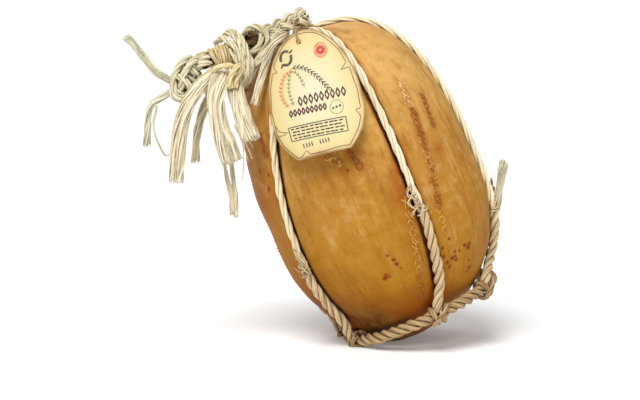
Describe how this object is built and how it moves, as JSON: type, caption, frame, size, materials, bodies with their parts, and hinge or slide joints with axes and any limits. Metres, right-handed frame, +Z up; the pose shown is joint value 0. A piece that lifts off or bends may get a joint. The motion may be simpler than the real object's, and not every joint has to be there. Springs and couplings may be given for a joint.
{
  "type": "provolone del monaco cheese",
  "caption": "Whole pear-shaped aged cheese in a straw rope harness, leaning on its foot, with a plaited handle, a tassel of rope ends and a card tag.",
  "frame": {"origin": "on the floor, under the centre of the box of the object without its free rope ends", "axes": "+Z up, the viewer looks along +Y and +X is to the viewer's right; the cheese's top leans towards -X"},
  "size_m": [0.3039, 0.1917, 0.2693],
  "materials": {
    "rind": "smooth ripened cheese rind, golden to amber brown, with a soft oily sheen",
    "straw_rope": "twisted straw rope, matt and fibrous",
    "pale_straw": "pale loose straw fibres, matt",
    "string": "thin twisted string",
    "card": "cream card with a printed border, matt"
  },
  "bodies": {
    "root": {"cheese": "rind", "foot_ring": "straw_rope", "rope_0_upper": "straw_rope", "rope_1_upper": "straw_rope", "rope_2_upper": "straw_rope", "rope_3_upper": "straw_rope", "rope_4_upper": "straw_rope", "rope_5_upper": "straw_rope", "splice_0": "straw_rope", "splice_1": "straw_rope", "splice_2": "straw_rope", "splice_3": "straw_rope", "splice_4": "straw_rope", "splice_5": "straw_rope", "rope_0_lower": "straw_rope", "rope_1_lower": "straw_rope", "rope_2_lower": "straw_rope", "rope_3_lower": "straw_rope", "rope_4_lower": "straw_rope", "rope_5_lower": "straw_rope", "hitch_0": "straw_rope", "hitch_1": "straw_rope", "hitch_2": "straw_rope", "hitch_3": "straw_rope", "hitch_4": "straw_rope", "hitch_5": "straw_rope", "crown_knot": "straw_rope", "rope_handle": "straw_rope", "handle_binding": "straw_rope", "end_knot": "straw_rope", "tail_up": "pale_straw", "tail_left": "pale_straw", "tail_front_left": "pale_straw", "tail_back": "pale_straw", "tail_front": "pale_straw", "tail_long": "pale_straw", "tail_right": "pale_straw", "tail_beside_tag": "pale_straw", "tail_far_side": "pale_straw", "tag": "card", "tag_string": "string"}
  },
  "joints": []
}
